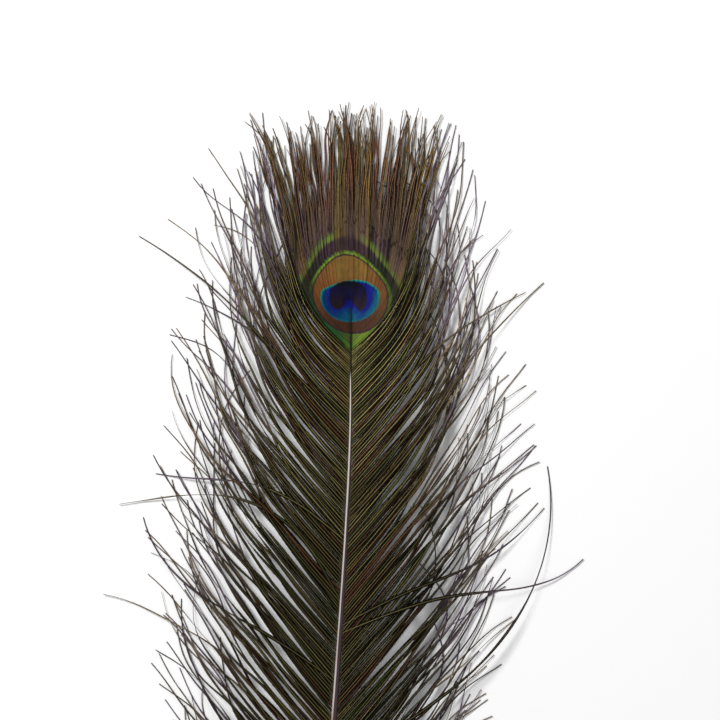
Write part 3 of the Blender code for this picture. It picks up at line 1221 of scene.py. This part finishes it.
@dataclass
class EyeVane:
    """The closed vane round the eye: barbs as overlapping ribbons, and their barbules."""

    barb_field: BarbField
    foot: float = 0.1344
    crown: float = 0.1590
    barbs_per_side: int = 68
    steps: int = 62
    split: float = 0.42                 # share of a barb's length where the vane parts into its fringe
    # Strands: barbs that hold together in the fringe, and how much each differs.
    strand_sizes: tuple[int, int] = (2, 6)
    strand_turn: float = 3.0
    strand_waves: float = 7.0
    strand_stretch: Span = (0.86, 1.01)
    strand_gap: float = 1.1
    # Single barbs, and how much each differs from its strand.
    fan: float = 9.0
    sway_turn: float = 4.0
    barb_turn: float = 2.2
    barb_waves: float = 4.0
    tip_turn: float = 12.0
    barb_stretch: Span = (0.93, 1.03)
    barb_lift: float = 0.0022
    hue_scatter: float = 0.12
    tip_twist: float = 50.0
    probe: float = 0.0004               # distance between the roots that the spacing is measured by
    least_spacing: float = 0.00008
    # Ribbons: the flat barbs of the closed vane.
    overlap: float = 0.72               # half a ribbon's width over the spacing
    parted_half: float = 0.00009
    barbule_lift: float = 0.00008
    closed_barbules: Barbules = Barbules(
        spacing=0.00055, blade_width=0.00028, blade_thickness=0.00004, lean=0.85, closing=0.0, rise=0.22,
        unevenness=0.12, web_share=0.0, sink=0.0, seed=3)
    fringe_barbules: Barbules = Barbules(
        spacing=0.00060, blade_width=0.00030, lean=0.9, closing=0.2, rise=0.1, unevenness=0.3,
        web_share=0.5, sink=0.00004, seed=4)
    random: np.random.Generator = field(default_factory=lambda: np.random.default_rng(FEATHER_SEED))

    def __post_init__(self) -> None:
        """Draws what differs from barb to barb."""
        self.shares = np.linspace(0.0, 1.0, self.steps + 1) ** 1.1
        self.sway = {side: Ripple(self.random, (0.0062, 0.0027, 0.0011)) for side in Side}
        self.barbs = [barb for side in Side for barb in self.draw_side(side)]

    def draw_side(self, side: Side) -> list[VaneBarb]:
        """Lays out the barbs of one side in strands that hold together towards their tips.

        Args:
            side: The side of the quill.

        Returns:
            The barbs.
        """
        drawn = []
        while len(drawn) < self.barbs_per_side:
            size = int(self.random.integers(*self.strand_sizes))
            turn, hue = self.random.normal(0.0, self.strand_turn), self.random.random()
            wiggle = Ripple(self.random, (0.8, 0.39, 0.2))
            stretch = self.random.uniform(*self.strand_stretch)
            for place in range(size):
                root = self.foot + (self.crown - self.foot) * (len(drawn) + 0.5) / self.barbs_per_side
                inward = (place - (size - 1) / 2) * self.strand_gap
                own_hue = float(np.clip(hue + self.random.normal(0.0, self.hue_scatter), 0.0, 1.0))
                drawn.append(self.draw_barb(root, side, turn + inward, wiggle, stretch, own_hue))
        return drawn[:self.barbs_per_side]

    def draw_barb(self, root: float, side: Side, turn: float, wiggle: Ripple, stretch: float,
                  hue: float) -> VaneBarb:
        """Lays out one barb.

        Args:
            root: Height of its root.
            side: Its side of the quill.
            turn: Degrees by which its strand turns outwards.
            wiggle: The waves of its strand.
            stretch: Length of its strand over its law's length.
            hue: Where its colour lies between the finish's colours, from 0 to 1.

        Returns:
            The barb.
        """
        loose = ease(self.shares, self.split, 1.0)
        fan = self.fan * (1.0 - (root - self.foot) / (self.crown - self.foot))
        own = Ripple(self.random, (0.6, 0.27)).at(self.shares) * self.barb_waves
        sway = self.sway[side].at(root) * self.sway_turn
        drift = loose * (fan + sway + turn + self.random.normal(0.0, self.barb_turn))
        waves = wiggle.at(self.shares) * self.strand_waves + own
        drift = drift + waves * ease(self.shares, self.split, 0.8)
        drift = drift + self.random.normal(0.0, self.tip_turn) * ease(self.shares, 0.82, 1.0)
        stretch = stretch * self.random.uniform(*self.barb_stretch)
        points, ahead = self.barb_field.course(root, side, self.shares, drift, stretch)
        points[:, 2] += loose * self.random.uniform(0.0, self.barb_lift)
        upper, _ = self.barb_field.course(root + self.probe / 2, side, self.shares)
        lower, _ = self.barb_field.course(root - self.probe / 2, side, self.shares)
        across = unit(np.cross(ahead, UP))
        pitch = (self.crown - self.foot) / self.barbs_per_side
        spacing = np.abs(np.einsum("ij,ij->i", upper - lower, across)) * pitch / self.probe
        return VaneBarb(points, ahead, self.shares, self.random.random(), hue, side, across,
                        np.maximum(spacing, self.least_spacing))

    def ribbon(self, barb: VaneBarb) -> np.ndarray:
        """Lays out one barb as a shallow roof whose lower edge slips under the next.

        Args:
            barb: The barb.

        Returns:
            Its points, four at each place.
        """
        parted = ease(self.shares, self.split - 0.06, self.split + 0.14)
        half = barb.spacing * self.overlap
        half = half + (self.parted_half - half) * parted
        half = half * (1.0 - 0.6 * ease(self.shares, 0.8, 1.0))
        thick = np.minimum(half * 0.35, 0.00012) + 0.00002
        inward = -float(barb.side.value) * np.sign(barb.across[:, :1])
        edge = barb.across * half[:, None] * inward
        tilt = np.minimum(half * 0.22, 0.0001)[:, None] * UP
        up = thick[:, None] * UP
        spine = barb.points
        corners = (spine + edge + tilt, spine + up, spine - edge - tilt, spine - up)
        return np.stack(corners, axis=1).reshape(-1, 3)

    def ribbons(self, finish: bpy.types.Material) -> bpy.types.Object:
        """Makes each barb of the closed vane.

        Args:
            finish: Their material.

        Returns:
            The piece.
        """
        count = len(self.shares)
        faces = []
        for first in range(0, len(self.barbs) * count * 4, count * 4):
            last = first + (count - 1) * 4
            faces += tube_walls(first, count, 4)
            faces += [(first, first + 3, first + 2, first + 1), (last, last + 1, last + 2, last + 3)]
        tones = np.repeat([barb.tone for barb in self.barbs], count * 4)
        hues = np.repeat([barb.hue for barb in self.barbs], count * 4)
        points = np.concatenate([self.ribbon(barb) for barb in self.barbs])
        piece = skin("eye_vane", points, faces, finish, tone=tones, hue=hues)
        turn_outwards(piece.data)
        return piece

    def barbules(self, tree: BarbuleTree, finish: bpy.types.Material) -> list[bpy.types.Object]:
        """Grows the barbules of the closed vane and those of its fringe.

        Args:
            tree: The tree that grows them.
            finish: Their material.

        Returns:
            The two pieces.
        """
        closed, fringe = Guides(), Guides()
        for barb in self.barbs:
            reach = np.minimum(barb.spacing * 1.05, 0.0011) + 0.00006
            self.add_stretch(closed, barb, reach, 0.02, self.split + 0.02, 0.0)
            free = 0.00105 * (1.0 - 0.6 * ease(self.shares, 0.75, 1.0))
            reach = reach + (free - reach) * ease(self.shares, self.split, self.split + 0.12)
            twist = self.random.uniform(-self.tip_twist, self.tip_twist)
            self.add_stretch(fringe, barb, reach, self.split, 1.0, twist, 2)
        return [
            tree.grow("eye_barbules", closed, finish, self.closed_barbules),
            tree.grow("fringe", fringe, finish, self.fringe_barbules),
        ]

    def add_stretch(self, guides: Guides, barb: VaneBarb, reach: np.ndarray, start: float, end: float,
                    twist: float, stride: int = 1) -> None:
        """Adds one stretch of a barb to the guides.

        Args:
            guides: The guides to add to.
            barb: The barb.
            reach: Length of its barbules along its whole length.
            start: Share of its length where the stretch starts.
            end: Share of its length where it ends.
            twist: Degrees by which it has turned at its tip.
            stride: Takes every so many of the barb's places, counted back from its tip.
        """
        chosen = np.nonzero((self.shares >= start) & (self.shares <= end))[0][::-stride][::-1]
        shares = self.shares[chosen]
        girth = 0.00007 + 0.00004 * ease(shares, self.split, self.split + 0.2)
        points = barb.points[chosen] + self.barbule_lift * UP
        part = Barb(points, barb.ahead[chosen], shares, barb.tone, barb.hue)
        guides.add(part, twist * ease(shares, self.split, 1.0), reach[chosen], girth)


@dataclass
class LooseBarbs:
    """The loose barbs of one stretch of one side."""

    barb_field: BarbField
    part: str
    side: Side
    top: float
    bottom: float
    barbules: Barbules = Barbules()
    reach: float = 0.0018           # length of the longest barbules
    pitch: float = 0.00205          # distance between two roots
    pitch_scatter: Span = (0.82, 1.18)
    crowding: Span = (0.55, 0.45)   # share of the pitch beside the eye, and what is added below it
    crowded: Span = (0.136, 0.094)
    stretch: Span = (0.80, 1.05)
    bow: float = 0.0030
    # Degrees of drift.
    barb_turn: float = 1.3
    barb_bend: float = 5.0
    gathering: Span = (5.0, 2.5)    # the drift that neighbours share, and how much less of it at the top
    waves: Span = (8.0, 16.0)       # and how much more of them in the down
    tip_turn: float = 15.0
    wild_share: float = 0.22        # how many of the barbs turn off on their own
    wild_turn: Span = (16.0, 50.0)
    step: float = 0.0048

    def make(self, tree: BarbuleTree, finish: bpy.types.Material) -> bpy.types.Object:
        """Draws each barb with its own drift, twist and colour, and grows them.

        Args:
            tree: The tree that grows barbules.
            finish: Their material.

        Returns:
            The piece.
        """
        seed = 10 * self.side.value + int(1000 * (self.top + 1))
        random = np.random.default_rng(FEATHER_SEED + seed)
        clumps = Ripple(random, (0.031, 0.017, 0.009))
        guides = Guides()
        root = self.top
        while root > self.bottom:
            self.add_barb(guides, random, clumps, root)
            crowding = self.crowding[0] + self.crowding[1] * float(ease(root, *self.crowded))
            root -= self.pitch * crowding * random.uniform(*self.pitch_scatter)
        name = f"barbs_{self.part}_{self.side.name.lower()}"
        return tree.grow(name, guides, finish, replace(self.barbules, seed=seed))

    def add_barb(self, guides: Guides, random: np.random.Generator, clumps: Ripple, root: float) -> None:
        """Draws one barb.

        Args:
            guides: The guides to add it to.
            random: Source of its differences.
            clumps: The drift that neighbours share.
            root: Height of its root.
        """
        length = self.barb_field.law_at(root).length
        shares = np.linspace(0.0, 1.0, max(8, int(length / self.step)))
        gathered = self.gathering[0] - self.gathering[1] * float(ease(root, 0.07, 0.11))
        turn = random.normal(0.0, self.barb_turn)
        bend = float(clumps.at(root)) * gathered + random.normal(0.0, self.barb_bend)
        drift = turn + ease(shares, 0.1, 1.0) * bend
        waviness = self.waves[0] + self.waves[1] * float(ease(-root, 0.160, 0.215))
        drift = drift + Ripple(random, (0.9, 0.41)).at(shares) * waviness * ease(shares, 0.1, 0.6)
        drift = drift + random.normal(0.0, self.tip_turn) * ease(shares, 0.7, 1.0)
        if random.random() < self.wild_share:
            turn = random.choice((-1.0, 1.0)) * random.uniform(*self.wild_turn)
            drift = drift + turn * ease(shares, 0.45, 1.0)
        points, ahead = self.barb_field.course(root, self.side, shares, drift, random.uniform(*self.stretch))
        points[:, 2] += np.sin(np.pi * shares) * random.uniform(0.0, self.bow)
        guides.add_loose(random, points, ahead, shares, self.reach)


@dataclass(frozen=True)
class Stray:
    """A barb that sticks out sideways: its root, how far out it ends and its headings."""

    root: float
    side: Side
    reach: float
    headings: tuple[float, ...]


@dataclass
class StrayBarbs:
    """The barbs that stand out sideways from the rest."""

    barb_field: BarbField
    strays: tuple[Stray, ...] = (
        Stray(0.010, Side.LEFT, 0.1165, (28, 30, 48, 70, 90, 98, 99)),
        Stray(-0.006, Side.RIGHT, 0.1165, (66, 69, 74, 84, 86, 72, 45)),
        Stray(-0.002, Side.RIGHT, 0.097, (60, 64, 70, 66, 52, 40)),
        Stray(0.096, Side.LEFT, 0.107, (46, 44, 42, 52, 60)),
        Stray(0.050, Side.RIGHT, 0.097, (44, 40, 30, 42, 48)),
        Stray(0.040, Side.LEFT, 0.098, (48, 52, 66, 84, 88, 80)),
        Stray(-0.030, Side.LEFT, 0.104, (52, 56, 62, 58, 40, 14)),
        Stray(0.085, Side.RIGHT, 0.088, (44, 36, 38, 52, 60, 64)),
        Stray(-0.075, Side.RIGHT, 0.100, (54, 58, 50, 34, 12, -10)),
        Stray(-0.110, Side.LEFT, 0.102, (60, 64, 70, 60, 44, 30)),
    )
    barbules: Barbules = Barbules(spacing=0.0004, blade_width=0.00026, closing=0.4, web_share=0.55, seed=9)
    reach: float = 0.0017
    steps: int = 44
    bow: float = 0.003
    seed: int = FEATHER_SEED + 77

    def make(self, tree: BarbuleTree, finish: bpy.types.Material) -> bpy.types.Object:
        """Lays each stray along its headings and grows it.

        Args:
            tree: The tree that grows barbules.
            finish: Their material.

        Returns:
            The piece.
        """
        random = np.random.default_rng(self.seed)
        guides = Guides()
        fine = np.linspace(0.0, 1.0, self.barb_field.fine_steps + 1)
        shares = np.linspace(0.0, 1.0, self.steps)
        for stray in self.strays:
            headings = np.interp(fine, np.linspace(0.0, 1.0, len(stray.headings)), stray.headings)
            start = self.barb_field.quill.middle(stray.root)
            unit_reach = np.cumsum(np.sin(np.radians(headings))).max() / self.barb_field.fine_steps
            length = (stray.reach - stray.side.value * float(start[0])) / unit_reach
            points, ahead = self.barb_field.walk(stray.root, stray.side, shares, fine, headings, length)
            points[:, 2] += self.bow * np.sin(np.pi * shares)
            guides.add_loose(random, points, ahead, shares, self.reach)
        return tree.grow("stray_barbs", guides, finish, self.barbules)


@dataclass(frozen=True)
class Studio:
    """Pale floor, soft light and a camera that looks straight down."""

    floor_size: float = 6.0
    floor_white: Colour = (0.97, 0.97, 0.97)
    room_strength: float = 0.38
    view_middle: Span = (0.0045, 0.130)
    view_width: float = 0.360
    view_level: float = 0.006      # height at which the view has that width
    lens: float = 120.0            # millimetres, as is the next
    sensor: float = 36.0
    near_clip: float = 0.01
    aim_back: float = 0.1          # the lights aim so far below the middle of the view

    def make(self) -> None:
        """Builds the floor, the lights and the camera."""
        scene = bpy.context.scene
        white = FinishBook("floor_white").finish({
            "Base Color": self.floor_white, "Roughness": 0.9, "Specular IOR Level": 0.1})
        corners = np.array(((-1, -1, 0), (1, -1, 0), (1, 1, 0), (-1, 1, 0))) * (self.floor_size / 2)
        skin("floor", corners, [(0, 1, 2, 3)], white)

        world = bpy.data.worlds.new("soft_room")
        world.use_nodes = True
        world.node_tree.nodes["Background"].inputs["Color"].default_value = (1.0, 1.0, 1.0, 1.0)
        world.node_tree.nodes["Background"].inputs["Strength"].default_value = self.room_strength
        scene.world = world
        self.panel("key_light", (-0.8, 0.9, 1.3), 0.5, 24.0)
        self.panel("fill_light", (0.9, -0.4, 1.2), 1.2, 4.0)

        data = bpy.data.cameras.new("camera")
        data.lens, data.sensor_width, data.clip_start = self.lens, self.sensor, self.near_clip
        camera = stand("camera", data)
        camera.location = (*self.view_middle, self.view_width * self.lens / self.sensor + self.view_level)
        scene.camera = camera
        scene.view_settings.view_transform = "Standard"

    def panel(self, name: str, place: tuple[float, float, float], size: float, power: float) -> None:
        """Hangs one square light that faces the feather.

        Args:
            name: Name of the light.
            place: Where it hangs.
            size: Length of its sides.
            power: Its power in watts.
        """
        data = bpy.data.lights.new(name, "AREA")
        data.size, data.energy = size, power
        light = stand(name, data)
        light.location = place
        aim = np.array((self.view_middle[0], self.view_middle[1] - self.aim_back, 0.0)) - np.array(place)
        light.rotation_mode = "QUATERNION"
        light.rotation_quaternion = Vector(aim).to_track_quat("-Z", "Y")


def hand_over(piece: bpy.types.Object, slot: str) -> None:
    """Sets a finished piece on the feather's body in place of its plain solid.

    Args:
        piece: The finished piece.
        slot: The record's material slot for it, which this function only logs.
    """
    lay_flat_map(piece.data)
    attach(piece, BODY)
    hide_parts(NODE)
    LOG.info("%s: %d faces in slot %s", piece.name, len(piece.data.polygons), slot)


def main() -> None:
    """Builds the feather and its studio."""
    logging.basicConfig(level=logging.INFO, format="%(message)s")
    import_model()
    Studio().make()
    barb_field = BarbField()
    tree = BarbuleTree()
    hand_over(Quill().make(HornFinish().material("quill_horn")), "quill_horn")
    eye_finish = EyeFinish().material("eye")
    vane = EyeVane(barb_field)
    hand_over(vane.ribbons(eye_finish), "eye_vane")
    for piece in vane.barbules(tree, eye_finish):
        hand_over(piece, "eye_vane")
    barb_finish = BarbFinish().material("loose_barbs")
    coarse = Barbules(spacing=0.00092, blade_width=0.0005)
    down = Barbules(spacing=0.00058, blade_width=0.00016, lean=0.6, closing=0.1, rise=0.35, unevenness=0.5,
                    web_share=0.0)
    for side in Side:
        for part, top, bottom, sizes in (
            ("upper", 0.1338, 0.042, {}),
            ("middle", 0.042, -0.050, {}),
            ("lower", -0.050, -0.178, {"barbules": coarse}),
            ("downy", -0.178, -0.219, {"barbules": down, "reach": 0.0026, "pitch": 0.0018}),
        ):
            barbs = LooseBarbs(barb_field, part, side, top, bottom, **sizes)
            hand_over(barbs.make(tree, barb_finish), "barb_vane")
    hand_over(StrayBarbs(barb_field).make(tree, barb_finish), "barb_vane")


if __name__ == "__main__":
    main()
